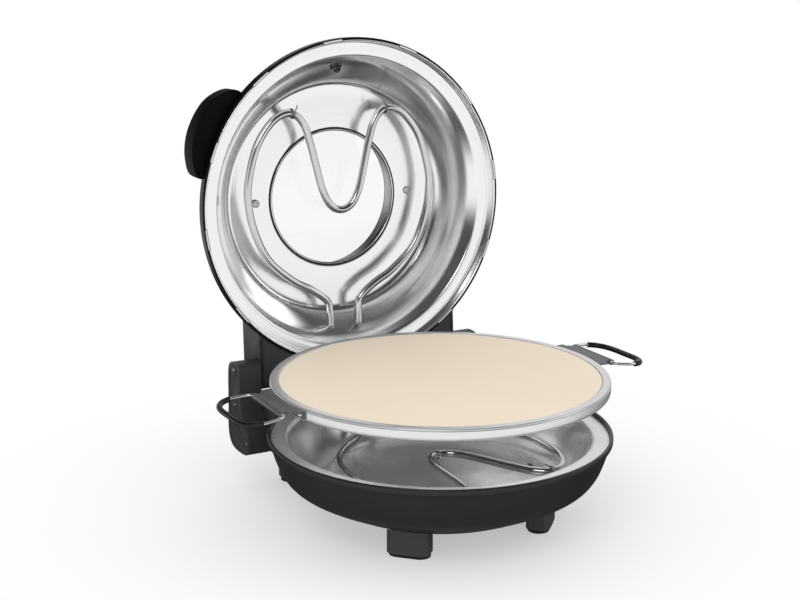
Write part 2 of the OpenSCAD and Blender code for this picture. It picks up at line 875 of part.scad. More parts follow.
module lid_tower() {
    color(black)
        open_lid()
            difference() {
                translate([0, tower_at[1], tower_at[2]])
                    across(tower_line, -tower_half, tower_half);
                difference() {
                    translate([0, tower_at[1], tower_at[2]])
                        across([[90, 103.2], [172, 103.2], [177.6, 108], [177.6, 150],
                            [90, 150]], -tower_half + wall + 0.4, tower_half - wall - 0.4);
                    dome_space(wall + 1);
                    for (s = [-1, 1])
                        rod_x(s * (tower_half - 12) - 11, s * (tower_half - 12) + 12, axis_y,
                            axis_z + 1, pin_d / 2 + 4);
                    for (q = tower_screw_at)
                        translate([q[0], q[1], 100])
                            cylinder(h = 38.6 + tower_at[2], r = 4.4, $fn = 32);
                }
                translate([-tower_half + 2, 60, 138.6 + tower_at[2]])
                    cube([2 * tower_half - 4, 117 + tower_at[1], 10]);
                dome_space(gap);
                for (x = [-49, 49])
                    rod_y(x, 120 * k, 160 + tower_at[1], lid_z + 32, 5);
                for (s = [-1, 1])
                    rod_x(s * (tower_half - 10) - 11, s * (tower_half - 10) + 11, axis_y,
                        axis_z, pin_d / 2 + gap);
                for (q = tower_screw_at)
                    translate([q[0], q[1], 120])
                        cylinder(h = 40, r = 1.7, $fn = 32);
            }
}

module lid_tower_cover() {
    color(dark)
        open_lid()
            difference() {
                translate([-tower_half + 2.4, 60, 138.9 + tower_at[2]])
                    cube([2 * tower_half - 4.8, 116.6 + tower_at[1], 3.1]);
                dome_space(gap + 0.1);
                for (q = tower_screw_at)
                    translate([q[0], q[1], 120])
                        cylinder(h = 40, r = 1.9, $fn = 32);
                for (q = tower_screw_at)
                    translate([q[0], q[1], 140.4 + tower_at[2]])
                        cylinder(h = 10, r = 4, $fn = 32);
            }
}

module lid_tower_screws() {
    color(steel)
        open_lid()
            for (q = tower_screw_at)
                translate([q[0], q[1], 140.6 + tower_at[2]])
                    screw(3.4, 1.4, 1.4, 11);
}

module tray_pan() {
    z0 = tray_top - tray_h;
    color(steel)
        raise_tray()
            difference() {
                turn([[0, z0], [tray_r - 2.4, z0], [tray_r - 1, z0 + 0.6],
                    [tray_r - 0.4, z0 + 2], [tray_r, z0 + 3], [tray_r, tray_top - 1],
                    [tray_r - 0.6, tray_top - 0.2], [tray_r - 1.4, tray_top],
                    [tray_r - tray_rim_w + 0.5, tray_top], [tray_r - tray_rim_w, tray_top - 0.5],
                    [tray_r - tray_rim_w, tray_top - 1.6], [tray_r - 1.6, tray_top - 1.6],
                    [tray_r - 1.6, z0 + 2.4], [tray_r - 2.8, z0 + 1.2], [0, z0 + 1.2]]);
                for (s = [-1, 1], y = [-33, 33])
                    rod_x(s * (tray_r - 6) - 12, s * (tray_r - 6) + 12, y, tray_top - 5.4, 1.4);
            }
}

module stone() {
    color(cream)
        raise_tray()
            translate([0, 0, tray_top - tray_h + 1.5])
                turn([[0, 0], [tray_r - 3.6, 0], [tray_r - 2, 1.7], [tray_r - 2, tray_h - 3.5],
                    [tray_r - tray_rim_w - 0.4, tray_h - 3.5],
                    [tray_r - tray_rim_w - 0.4, tray_h - 2.6],
                    [tray_r - tray_rim_w - 0.9, tray_h - 2.1], [0, tray_h - 2.1]]);
}

// Tray bracket of the right side: tab on the band, sloping plate and pivot barrel
module bracket_body() {
    difference() {
        union() {
            intersection() {
                translate([0, 0, tray_top - 8.6])
                    difference() {
                        cylinder(h = 7.4, r = tray_r + 1.9, $fn = 128);
                        translate([0, 0, -1])
                            cylinder(h = 12, r = tray_r + 0.3, $fn = 128);
                    }
                translate([100, -38, tray_top - 20])
                    cube([100, 76, 30]);
            }
            difference() {
                rotate([90, 0, 0])
                    linear_extrude(76, center = true)
                        polygon([[140 * k, tray_top - 2.4], [150 * k, tray_top - 2.4],
                            [tray_r + 5, tray_top - 2.6], [bail_x, bail_z + 0.4],
                            [bail_x, bail_z + 2.4], [tray_r + 5, tray_top - 0.9],
                            [140 * k, tray_top - 0.9]]);
                translate([0, 0, tray_top - 20])
                    cylinder(h = 40, r = tray_r + 0.3, $fn = 128);
                for (s = [-1, 1])
                    translate([bail_x - 6, s * 43, tray_top - 20])
                        rotate([0, 0, s * -32])
                            translate([0, -10, 0])
                                cube([30, 20, 40]);
            }
            rod_y(bail_x, -31.5, 31.5, bail_z, wire_r + 1.5);
        }
        rod_y(bail_x, -50, 50, bail_z, wire_r + gap);
        for (y = [-33, 33])
            rod_x(bail_x - 40, bail_x - 4, y, tray_top - 5.4, 1.4);
    }
}

module bracket_left() {
    color(dark)
        raise_tray()
            mirror([1, 0, 0])
                bracket_body();
}

module bracket_right() {
    color(dark)
        raise_tray()
            bracket_body();
}

module bracket_rivets() {
    color(steel)
        raise_tray()
            for (s = [0, 1], y = [-33, 33])
                mirror([s, 0, 0])
                    let (x = sqrt(pow(tray_r + 1.9, 2) - y * y))
                        union() {
                            rod_x(x - 3.4, x + 1, y, tray_top - 5.4, 1.1);
                            difference() {
                                translate([x + 0.8, y, tray_top - 5.4])
                                    sphere(r = 2, $fn = 32);
                                translate([x - 3.2, y - 4, tray_top - 10])
                                    cube([4, 8, 10]);
                            }
                        }
}

// Centre line of a bail, from one pivot end to the other, pivot at x = 0
bail_line = curve([[0, -20], [0, -27], [0, -33], [1.8, -36.6], [7, -38.6], [16, -bail_half],
    [24, -bail_half + 1], [31, -bail_half + 5], [bail_reach - 2, -bail_half + 13],
    [bail_reach, -bail_half + 24], [bail_reach, 0], [bail_reach, bail_half - 24],
    [bail_reach - 2, bail_half - 13], [31, bail_half - 5], [24, bail_half - 1],
    [16, bail_half], [7, 38.6], [1.8, 36.6], [0, 33], [0, 27], [0, 20]], 3);

module bail_place() {
    raise_tray()
        translate([bail_x, 0, bail_z])
            rotate([0, droop, 0])
                children();
}

module bail_wire() {
    bail_place()
        sweep(bail_line, wire_r, 0, 10);
}

module bail_left() {
    color(steel)
        mirror([1, 0, 0])
            bail_wire();
}

module bail_right() {
    color(steel)
        bail_wire();
}

// Grip sleeve over the outer part of a bail
module grip_body() {
    held = [for (i = [17:43]) bail_line[i]];
    inner = [for (i = [16:44]) bail_line[i]];
    bail_place()
        difference() {
            sweep(held, wire_r + 1.4, 0, 10);
            sweep(inner, wire_r + gap, 0, 10);
        }
}

module grip_left() {
    color(black)
        mirror([1, 0, 0])
            grip_body();
}

module grip_right() {
    color(black)
        grip_body();
}

base_shell();
base_dish();
base_heater();
base_heater_holders();
base_heater_bushes();
base_dish_screws();
base_thermostat();
base_thermal_fuse();
foot_front_left();
foot_front_right();
foot_rear_left();
foot_rear_right();
foot_pads();
foot_screws();
rear_housing();
rear_bottom_plate();
bottom_plate_screws();
terminal_block();
cord_inlet();
hinge_block_left();
hinge_block_right();
block_cover_left();
block_cover_right();
block_screws();
block_mount_screws();
hinge_pins();
lid_shell();
lid_liner();
lid_rim_tabs();
lid_heater();
lid_heater_holders();
lid_heater_bushes();
lid_liner_screws();
lid_clip_bolt();
lid_window_glass();
lid_window_gasket();
lid_window_sleeve();
lid_window_trim();
lid_handle();
lid_handle_screws();
lid_tower();
lid_tower_cover();
lid_tower_screws();
tray_pan();
stone();
bracket_left();
bracket_right();
bracket_rivets();
bail_left();
bail_right();
grip_left();
grip_right();
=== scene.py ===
# %% [markdown]
# # An electric pizza maker, opened
# The appliance is a black bowl with a bright steel dish in it, a cream baking stone in a thin steel tray, and a domed
# lid that stands open behind them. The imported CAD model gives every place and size. This script dresses it: the
# pieces that show are modelled again with rounder edges and finer detail, and every surface gets its finish.

# %% Load the frame
import json
import math
import bpy
from mathutils import Matrix, Vector

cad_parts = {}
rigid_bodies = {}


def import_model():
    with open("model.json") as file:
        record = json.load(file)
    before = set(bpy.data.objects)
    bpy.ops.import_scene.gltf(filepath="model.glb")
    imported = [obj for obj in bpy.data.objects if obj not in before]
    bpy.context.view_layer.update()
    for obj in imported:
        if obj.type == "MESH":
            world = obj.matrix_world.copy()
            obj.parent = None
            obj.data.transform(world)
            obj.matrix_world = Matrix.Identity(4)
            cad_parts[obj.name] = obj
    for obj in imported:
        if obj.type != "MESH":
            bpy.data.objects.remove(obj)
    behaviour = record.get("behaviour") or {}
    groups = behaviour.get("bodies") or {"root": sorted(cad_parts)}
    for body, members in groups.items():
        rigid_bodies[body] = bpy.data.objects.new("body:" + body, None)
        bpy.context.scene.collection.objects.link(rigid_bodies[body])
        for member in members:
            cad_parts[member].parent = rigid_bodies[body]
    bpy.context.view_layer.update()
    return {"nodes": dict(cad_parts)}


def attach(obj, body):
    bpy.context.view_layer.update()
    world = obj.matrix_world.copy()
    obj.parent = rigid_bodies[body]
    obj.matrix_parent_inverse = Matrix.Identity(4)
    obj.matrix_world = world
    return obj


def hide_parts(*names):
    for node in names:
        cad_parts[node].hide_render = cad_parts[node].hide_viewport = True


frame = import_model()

# %% [markdown]
# ## Sizes
# All sizes below are in millimetres, as on the drawing of the appliance, and `mm` turns them into Blender's metres.
# The lid is drawn shut, round its own upright axis, and `lid_place` swings it open about the hinge. The tray is drawn
# on its seat and `tray_place` lifts it to where the photograph shows it.

# %% Named sizes
mm = 0.001
rim_z = 87.0
bowl_low = 17.0
flange_z, dish_low = rim_z - 3.6, 39.0
lid_r, lid_z = 166.3, 98.0
axis_y, axis_z, open_turn = 172.0, 104.5, 92.0
tray_r, tray_top, tray_h, tray_lift = 159.6, 97.5, 11.5, 42.5
tray_rim = 8.0
disc_h = 57.0
tube_r = 4.0
pivot_x, pivot_z = 175.0, 93.9
wire_r = 1.4
droop = 6.0

hinge = Vector((0, axis_y * mm, axis_z * mm))
lid_place = (
    Matrix.Translation(hinge)
    @ Matrix.Rotation(math.radians(-open_turn), 4, "X")
    @ Matrix.Translation(-hinge)
    @ Matrix.Translation((0, 0, lid_z * mm))
)
tray_place = Matrix.Translation((0, 0, tray_lift * mm))
print("lid centre when open:", [round(c, 4) for c in lid_place.translation])

# %% [markdown]
# ## Camera
# The photograph is taken from the front left and a little above. A 67.5 mm lens on a 36 mm sensor gives the same
# mild perspective, and the place below puts the stone, the bowl and the lid where the picture has them.

# %% Camera
camera_data = bpy.data.cameras.new("camera")
camera_data.lens = 67.5
camera_data.sensor_width = 36.0
camera = bpy.data.objects.new("camera", camera_data)
camera.location = (-0.6711, -1.1742, 0.5422)
camera.rotation_euler = (math.radians(90 - 13.71), 0, math.radians(-28.16))
bpy.context.scene.collection.objects.link(camera)
bpy.context.scene.camera = camera
print("camera at", tuple(camera.location))

# %% [markdown]
# ## Helpers for modelling
# Operators act on what is selected, so every step starts by clearing the selection. Curves are given as a few points,
# and `smooth` rounds them off with a Catmull-Rom curve, as a bent rule would.

# %% Selection, curves and places
def clear_selection():
    if bpy.context.object and bpy.context.object.mode != "OBJECT":
        bpy.ops.object.mode_set(mode="OBJECT")
    bpy.ops.object.select_all(action="DESELECT")


def pick(piece):
    clear_selection()
    piece.select_set(True)
    bpy.context.view_layer.objects.active = piece


def smooth(points, steps, closed=False):
    count = len(points)
    line = []
    for i in range(count if closed else count - 1):
        if closed:
            a, b, c, d = (Vector(points[(i + j) % count]) for j in (-1, 0, 1, 2))
        else:
            a, b = Vector(points[max(i - 1, 0)]), Vector(points[i])
            c, d = Vector(points[i + 1]), Vector(points[min(i + 2, count - 1)])
        for j in range(steps):
            t = j / steps
            line.append(
                0.5 * (2 * b + (c - a) * t + (2 * a - 5 * b + 4 * c - d) * t * t + (3 * b - a - 3 * c + d) * t ** 3)
            )
    if not closed:
        line.append(Vector(points[-1]))
    return line


def beside(line, gap):
    moved = []
    for i, point in enumerate(line):
        way = (line[min(i + 1, len(line) - 1)] - line[max(i - 1, 0)]).normalized()
        moved.append(point + gap * Vector((-way.y, way.x)))
    return moved


def seat(piece, place):
    pick(piece)
    piece.matrix_world = place
    bpy.ops.object.transform_apply(location=True, rotation=True, scale=True)
    return piece


print("helpers ready")

# %% [markdown]
# Pressed and spun sheet is round all over, so its cross-section is drawn once and spun about the middle. The section
# starts as a primitive circle whose points are moved onto the drawn outline, and Spin carries it round.

# %% Spinning a section
def spun(name, section, steps=192, keen=30):
    clear_selection()
    bpy.ops.mesh.primitive_circle_add(vertices=len(section), radius=0.01)
    piece = bpy.context.object
    piece.name = name
    piece.data.name = name
    for corner, (r, h) in zip(piece.data.vertices, section):
        corner.co = (r * mm, 0, h * mm)
    bpy.ops.object.mode_set(mode="EDIT")
    bpy.ops.mesh.select_all(action="SELECT")
    bpy.ops.mesh.spin(steps=steps, angle=2 * math.pi, center=(0, 0, 0), axis=(0, 0, 1))
    bpy.ops.mesh.select_all(action="SELECT")
    bpy.ops.mesh.remove_doubles(threshold=0.000004)
    bpy.ops.mesh.normals_make_consistent(inside=False)
    bpy.ops.object.mode_set(mode="OBJECT")
    bpy.ops.object.shade_smooth_by_angle(angle=math.radians(keen))
    return piece


def sheet(face, thickness):
    return list(face) + list(reversed(beside(face, thickness)))


print("spin helper ready")

# %% [markdown]
# Heating tubes, wires and grips are round rods bent along a line. A curve with a round bevel draws them, and Convert
# turns it into a mesh.

# %% Bending a rod
def rod(name, line, radius, roundness=4, closed=False):
    clear_selection()
    bpy.ops.curve.primitive_nurbs_path_add()
    piece = bpy.context.object
    piece.name = name
    shape = piece.data
    shape.splines.clear()
    spline = shape.splines.new("POLY")
    spline.points.add(len(line) - 1)
    for point, place in zip(spline.points, line):
        point.co = (place[0] * mm, place[1] * mm, place[2] * mm, 1)
    spline.use_cyclic_u = closed
    shape.dimensions = "3D"
    shape.bevel_depth = radius * mm
    shape.bevel_resolution = roundness
    shape.use_fill_caps = not closed
    bpy.ops.object.convert(target="MESH")
    piece = bpy.context.object
    piece.data.name = name
    bpy.ops.object.mode_set(mode="EDIT")
    bpy.ops.mesh.select_all(action="SELECT")
    bpy.ops.mesh.remove_doubles(threshold=0.000002)
    bpy.ops.mesh.normals_make_consistent(inside=False)
    bpy.ops.object.mode_set(mode="OBJECT")
    bpy.ops.object.shade_smooth_by_angle(angle=math.radians(40))
    return piece


print("rod helper ready")

# %% [markdown]
# Moulded pieces already have their shape in the CAD model, but its edges are knife sharp. A copy is welded, its flat
# faces are joined, and a narrow bevel gives the soft edge that catches the light.

# %% Softening a CAD piece
def softened(node, width, segments=3, keen=28):
    source = frame["nodes"][node]
    piece = bpy.data.objects.new("soft_" + node, source.data.copy())
    bpy.context.scene.collection.objects.link(piece)
    piece.matrix_world = Matrix.Identity(4)
    piece.data.materials.clear()
    pick(piece)
    bpy.ops.object.mode_set(mode="EDIT")
    bpy.ops.mesh.select_all(action="SELECT")
    bpy.ops.mesh.remove_doubles(threshold=0.00001)
    bpy.ops.mesh.dissolve_limited(angle_limit=math.radians(0.6))
    bpy.ops.object.mode_set(mode="OBJECT")
    bevel = piece.modifiers.new("soft edge", "BEVEL")
    bevel.width = width * mm
    bevel.segments = segments
    bevel.limit_method = "ANGLE"
    bevel.angle_limit = math.radians(keen)
    bevel.use_clamp_overlap = True
    bpy.ops.object.modifier_apply(modifier=bevel.name)
    bpy.ops.object.shade_smooth_by_angle(angle=math.radians(keen))
    return piece


def joined(name, parts):
    clear_selection()
    for part in parts:
        part.select_set(True)
    bpy.context.view_layer.objects.active = parts[0]
    bpy.ops.object.join()
    parts[0].name = name
    parts[0].data.name = name
    return parts[0]


print("softening helper ready")

# %% [markdown]
# ## Finishes
# A finish is a small network of shader nodes. The class `Signal` lets its maths be written as plain Python, and
# `Finish.node` adds any other node from its type, its settings and the values of its sockets.

# %% Shader helpers
class Signal:
    def __init__(self, finish, socket):
        self.finish = finish
        self.socket = socket

    def math(self, operation, other, swap=False):
        made = self.finish.node("ShaderNodeMath", {"operation": operation})
        for i, value in enumerate((other, self) if swap else (self, other)):
            self.finish.feed(made.inputs[i], value)
        return Signal(self.finish, made.outputs[0])

    def __add__(self, other):
        return self.math("ADD", other)

    def __radd__(self, other):
        return self.math("ADD", other, swap=True)

    def __mul__(self, other):
        return self.math("MULTIPLY", other)

    def __rmul__(self, other):
        return self.math("MULTIPLY", other, swap=True)

    def __pow__(self, other):
        return self.math("POWER", other)


class Finish:
    def __init__(self, name, colour, roughness, metallic=0.0, **constants):
        self.material = bpy.data.materials.new(name)
        self.material.use_nodes = True
        self.tree = self.material.node_tree
        self.shader = self.tree.nodes["Principled BSDF"]
        self.set("Base Color", (*colour, 1.0))
        self.set("Metallic", metallic)
        self.set("Roughness", roughness)
        for socket, value in constants.items():
            self.set(socket.replace("_", " "), value)

    def set(self, socket, value):
        self.feed(self.shader.inputs[socket], value)

    def feed(self, socket, value):
        if isinstance(value, Signal):
            self.tree.links.new(value.socket, socket)
        elif isinstance(value, bpy.types.NodeSocket):
            self.tree.links.new(value, socket)
        else:
            socket.default_value = value

    def node(self, kind, settings=None, **sockets):
        made = self.tree.nodes.new(kind)
        for key, value in (settings or {}).items():
            setattr(made, key, value)
        for key, value in sockets.items():
            self.feed(made.inputs[key.replace("_", " ")], value)
        return made

    def where(self, place=None):
        spot = self.node("ShaderNodeTexCoord").outputs["Object"]
        if place is not None:
            turn = place.to_euler()
            spot = self.node(
                "ShaderNodeMapping", {"vector_type": "TEXTURE"}, Vector=spot, Location=place.translation,
                Rotation=(turn.x, turn.y, turn.z),
            ).outputs[0]
        return spot

    def noise(self, spot, scale, detail):
        made = self.node("ShaderNodeTexNoise", Vector=spot, Scale=scale, Detail=detail, Roughness=0.5)
        return Signal(self, made.outputs["Fac"])

    def relief(self, height, distance, strength):
        bump = self.node("ShaderNodeBump", Height=height, Distance=distance, Strength=strength)
        self.set("Normal", bump.outputs["Normal"])

    def tint(self, amount, low, high):
        mixed = self.node("ShaderNodeMix", {"data_type": "RGBA"})
        self.feed(mixed.inputs["Factor"], amount)
        self.feed(mixed.inputs[6], (*low, 1))
        self.feed(mixed.inputs[7], (*high, 1))
        self.set("Base Color", mixed.outputs[2])


def level(value, low, high):
    return value * (high - low) + low


print("shader helpers ready")

# %% [markdown]
# The liner of the lid and the dish of the base are pressed from bright steel and polished on a lathe. That leaves
# fine rings round the middle, and the pressing leaves the sheet slightly wavy, which bends its reflections. `rings`
# and `wave` are the heights of both, `turn` is how far the gloss changes from ring to ring, and `place` is where the
# middle lies.

# %% Spun steel
rings_per_metre = 1700.0


def spun_steel(name, place, tone, rough, wave, rings, metal=1.0, turn=0.04):
    steel = Finish(name, tone, rough, metallic=metal)
    spot = steel.where(place)
    parts = steel.node("ShaderNodeSeparateXYZ", Vector=spot)
    x, y = Signal(steel, parts.outputs[0]), Signal(steel, parts.outputs[1])
    ring = (x * x + y * y) ** 0.5
    turned = steel.node("ShaderNodeTexNoise", {"noise_dimensions": "1D"}, W=ring * rings_per_metre, Scale=1.0,
        Detail=3.0)
    lathe = Signal(steel, turned.outputs["Fac"])
    sheen = steel.noise(spot, 11.0, 4.0)
    steel.set("Roughness", level(lathe, rough - turn, rough + turn) + level(sheen, -0.04, 0.04))
    dents = steel.noise(spot, 14.0, 2.0)
    steel.relief(lathe * rings + dents * wave, 0.0012, 0.6)
    steel.tint(sheen, tuple(c * 0.9 for c in tone), tone)
    return steel.material


liner_finish = spun_steel("liner steel", lid_place, (0.93, 0.93, 0.93), 0.17, 0.5, 0.03)
dish_finish = spun_steel("dish steel", None, (0.97, 0.97, 0.97), 0.27, 2.6, 0.0, metal=0.66, turn=0.003)
print("spun steel ready")

# %% [markdown]
# The tray is rolled steel with a satin rim. The heating tubes are grey steel that has been hot, so their tone drifts
# along their length. Screws, tabs and wires are smooth, each in its own tone, and the brackets are painted grey.

# %% Other metals
def plain_steel(name, tone, rough):
    steel = Finish(name, tone, rough, metallic=1.0)
    spot = steel.where()
    cloud = steel.noise(spot, 40.0, 3.0)
    fine = steel.noise(spot, 2600.0, 2.0)
    steel.set("Roughness", level(cloud, rough - 0.05, rough + 0.06))
    steel.relief(fine * 0.05, 0.0004, 0.5)
    steel.tint(cloud, tuple(c * 0.86 for c in tone), tone)
    return steel.material


tray_finish = spun_steel("tray steel", None, (0.84, 0.84, 0.84), 0.3, 0.15, 0.001, metal=0.78)
tube_finish = plain_steel("heating tube", (0.68, 0.68, 0.68), 0.16)
tie_finish = plain_steel("tie wire", (0.30, 0.30, 0.30), 0.25)
bright_finish = plain_steel("bright metal", (0.88, 0.88, 0.88), 0.16)
tab_finish = plain_steel("bright tab", (0.95, 0.95, 0.95), 0.45)
screw_finish = plain_steel("screw steel", (0.55, 0.55, 0.55), 0.22)
nut_finish = plain_steel("dark nut steel", (0.14, 0.14, 0.14), 0.28)
sleeve_finish = plain_steel("window sleeve", (0.35, 0.35, 0.35), 0.3)
bracket_paint = Finish("bracket paint", (0.085, 0.085, 0.088), 0.38)
bracket_paint.relief(bracket_paint.noise(bracket_paint.where(), 1600.0, 2.0) * 0.3, 0.0002, 0.4)
bracket_finish = bracket_paint.material
print("metals ready")

# %% [markdown]
# The bowl is painted satin black and the dome a deeper, glossier black. Sprayed paint has a faint orange peel, so a
# small noise lifts the surface and the gloss varies a little.

# %% Black paint
def paint(name, tone, rough, peel, coat_weight, ior=1.36):
    coat = Finish(name, tone, rough, IOR=ior, Coat_Weight=coat_weight, Coat_Roughness=0.12)
    spot = coat.where()
    grain = coat.noise(spot, 900.0, 2.0)
    patch = coat.noise(spot, 18.0, 3.0)
    coat.set("Roughness", level(patch, rough - 0.04, rough + 0.05))
    coat.relief(grain * peel, 0.0002, 0.35)
    coat.tint(patch, tuple(c * 0.85 for c in tone), tuple(c * 1.15 for c in tone))
    return coat.material


bowl_finish = paint("satin black paint", (0.014, 0.014, 0.0143), 0.3, 0.5, 0.1)
dome_finish = paint("glossy black paint", (0.003, 0.003, 0.003), 0.2, 0.3, 0.0, 1.22)
print("paint ready")

# %% [markdown]
# Handles, feet and hinge blocks are moulded plastic with a very fine spark-eroded grain. The grip sleeves on the wire
# handles are a darker, smoother sleeve of the same family, and the seal and foot pads are dull rubber.

# %% Plastics and rubber
def moulded(name, tone, rough, ior=1.4):
    plastic = Finish(name, tone, rough, IOR=ior)
    spot = plastic.where()
    fine = plastic.noise(spot, 2600.0, 2.0)
    patch = plastic.noise(spot, 25.0, 3.0)
    plastic.set("Roughness", level(patch, rough - 0.05, rough + 0.05))
    plastic.relief(fine * 0.5, 0.00012, 0.4)
    plastic.tint(fine, tuple(c * 0.8 for c in tone), tuple(c * 1.2 for c in tone))
    return plastic.material


hinge_finish = moulded("hinge plastic", (0.028, 0.028, 0.029), 0.42)
cover_finish = moulded("cover plastic", (0.034, 0.034, 0.035), 0.45)
handle_finish = moulded("handle plastic", (0.002, 0.002, 0.002), 0.6, ior=1.18)
foot_finish = moulded("foot plastic", (0.052, 0.052, 0.053), 0.4)
grip_finish = moulded("grip sleeve", (0.006, 0.006, 0.006), 0.3)
rubber_finish = moulded("rubber", (0.015, 0.015, 0.015), 0.7)
ceramic_finish = moulded("ceramic", (0.78, 0.76, 0.70), 0.45)
print("plastics ready")

# %% [markdown]
# The baking stone is fired clay: matt, cream, with a faint cloudiness and pores too small to see singly. The window
# is clear glass with a trace of smudges.

# %% Baking stone and glass
stone = Finish("baking stone", (0.84, 0.72, 0.57), 0.85)
stone_spot = stone.where()
cloud = stone.noise(stone_spot, 12.0, 5.0)
pores = stone.noise(stone_spot, 1500.0, 3.0)
stone.tint(cloud * 0.6 + pores * 0.4, (0.80, 0.685, 0.54), (0.87, 0.755, 0.61))
stone.relief(pores, 0.00025, 0.5)
stone.set("Roughness", level(cloud, 0.8, 0.92))
stone_finish = stone.material

glass = Finish("window glass", (0.93, 0.935, 0.935), 0.02, IOR=1.45, Transmission_Weight=1.0)
glass_smudge = glass.noise(glass.where(), 30.0, 3.0)
glass.set("Roughness", level(glass_smudge, 0.0, 0.04))
glass_finish = glass.material
print("stone and glass ready")

# %% [markdown]
# ## Handing a piece over
# A new piece gets its finish, rides on the body that carries it, and replaces the CAD nodes that it stands for. A
# CAD node that stays as it is only gets a finish.

# %% Handing a piece over
def fit(piece, finish, body, slot, *nodes):
    piece.data.materials.clear()
    piece.data.materials.append(finish)
    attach(piece, body)
    if nodes:
        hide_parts(*nodes)
    print(piece.name, len(piece.data.polygons), "faces")


def dress(node, finish):
    source = frame["nodes"][node]
    for i in range(len(source.material_slots)):
        source.material_slots[i].material = finish
    if not source.material_slots:
        source.data.materials.append(finish)


print("fit and dress ready")

# %% [markdown]
# ## Base bowl
# The bowl is one pressed shell. Its rim rolls over to a narrow lip with a ridge under it, and a ledge inside carries
# the dish. A single section, outside and inside, is spun.

# %% Base bowl
bowl_steps = [(0, 0), (60, 0), (84, 0.0), (92, 0.02), (101, 0.07), (110, 0.13), (118.5, 0.19), (127, 0.25),
    (135, 0.31), (141.5, 0.365), (146, 0.42), (149.3, 0.48), (152.2, 0.55), (154.6, 0.63), (156.6, 0.71),
    (158.4, 0.79), (160.2, 0.87), (161.3, 0.905)]
bowl_side = smooth([(r, bowl_low + t * (rim_z - bowl_low)) for r, t in bowl_steps], 4)
bowl_lip = smooth([(161.7, 81.0), (162.9, 81.5), (163.25, 82.6), (163.3, 85.4), (162.9, 86.6), (162.0, 87.0),
    (160.8, 86.95), (160.1, 86.4), (159.95, 84.6)], 4)
bowl_inside = [Vector(p) for p in [(159.8, 82.4), (149, 82.4), (149, 80.9), (159.2, 80.9), (159.3, 79)]]
bowl_back = list(reversed(beside(bowl_side[:-4], 1.4)))
bowl = spun("base_bowl", bowl_side + bowl_lip + bowl_inside + bowl_back, 224)
fit(bowl, bowl_finish, "base", "black_enamel", "base_shell")

# %% [markdown]
# ## Base dish
# The dish hangs in the bowl by a flat flange. Its wall falls in one long cove to a flat floor. Faces given from the
# flange to the middle are thickened into a sheet, so the edge shows real metal.

# %% Base dish
dish_steps = [(146, 1), (143.5, 0.97), (140.5, 0.88), (137, 0.74), (133, 0.56), (128.5, 0.38), (123, 0.21),
    (116.5, 0.08), (110, 0.015), (104, 0)]
dish_wall = smooth([(r, dish_low + t * (flange_z - dish_low)) for r, t in dish_steps], 6)
dish_top = [Vector((r, flange_z - drop)) for r, drop in ((159.4, 0.05), (158, 0), (150, 0), (147.4, 0.05))]
dish_floor = [Vector((r, dish_low)) for r in (96, 80, 50, 0)]
dish = spun("base_dish_liner", sheet(dish_top + dish_wall + dish_floor, 0.8), 224)
fit(dish, dish_finish, "base", "liner_steel", "base_dish")

# %% [markdown]
# ## Heating tubes
# Both heating tubes are bent to the same shape, like the letter M with its feet drawn together. Half of the line is
# given and mirrored. The lower one lies turned a little in the bowl, the upper one hangs under the lid's disc.

# %% Heating tubes
half_m = [(16.3, -141), (16.3, -132), (16.3, -123), (16.7, -116), (20, -105), (37, -92), (58, -80), (84, -56),
    (99, -23), (104, 8), (101.5, 31), (92.5, 60), (77, 82), (62, 91), (50, 90), (40, 79), (33.5, 60), (27.5, 36),
    (21, 11), (12, -5.5)]
whole_m = [(-x, v) for x, v in half_m] + [(0, -11)] + list(reversed(half_m))
tube_line = [(p.x, -p.y, 0.0) for p in smooth(whole_m, 6)]
base_heat_place = (
    Matrix.Translation((4 * mm, -2.6 * mm, 58 * mm)) @ Matrix.Rotation(math.radians(11.2), 4, "Z")
)
lid_heat_place = lid_place @ Matrix.Translation((0, 0, 37 * mm))
lower_tube = seat(rod("lower_heating_tube", tube_line, tube_r, 5), base_heat_place)
fit(lower_tube, tube_finish, "base", "heater_steel", "base_heater")
upper_tube = seat(rod("upper_heating_tube", tube_line, tube_r, 5), lid_heat_place)
fit(upper_tube, tube_finish, "lid", "heater_steel", "lid_heater")

# %% [markdown]
# Each tube is held at its two outer bends by a twist of wire that goes through the sheet behind it, and the lower tube
# also at its middle bend. The wire runs twice round the tube, then to the sheet, and ends in a small twist.

# %% Wire holders
def holder(name, reach, side):
    around = []
    for i in range(33):
        a = math.radians(-100 + i * 720 / 32)
        around.append((side * (i * 0.085 - 1.4), 4.9 * math.cos(a), 4.9 * math.sin(a)))
    to_sheet = [(side * 1.6, 3.2, 5.4), (side * 1.2, 1.0, 9.0), (0.4, 0.2, reach - 3), (0, 0, reach)]
    twist = [(side * -1.9, -3.4, -5.2), (side * -3.4, -6.6, -5.6), (side * -4.6, -8.2, -3.4)]
    leg = smooth([around[-1]] + to_sheet, 4)
    tail = smooth([around[0]] + twist, 4)
    wire = [tuple(p) for p in reversed(tail)] + around[1:] + [tuple(p) for p in leg[1:]]
    return rod(name, wire, 0.6, 2)


lid_reach, base_reach = 20.8, 19.2
flip = Matrix.Rotation(math.pi, 4, "X")
middle = Matrix.Translation((0, 11 * mm, 0))
lid_ties = []
base_ties = []
for side in (-1, 1):
    spot = Matrix.Translation((side * 53 * mm, -91 * mm, 0))
    lid_ties.append(seat(holder("lid_tie", lid_reach, side), lid_heat_place @ spot))
    base_ties.append(seat(holder("base_tie", base_reach, side), base_heat_place @ spot @ flip))
base_ties.append(seat(holder("base_tie", base_reach, 1), base_heat_place @ middle @ flip))
fit(joined("lid_tube_ties", lid_ties), tie_finish, "lid", "bright_steel", "lid_heater_holders")
fit(joined("base_tube_ties", base_ties), bright_finish, "base", "bright_steel", "base_heater_holders")

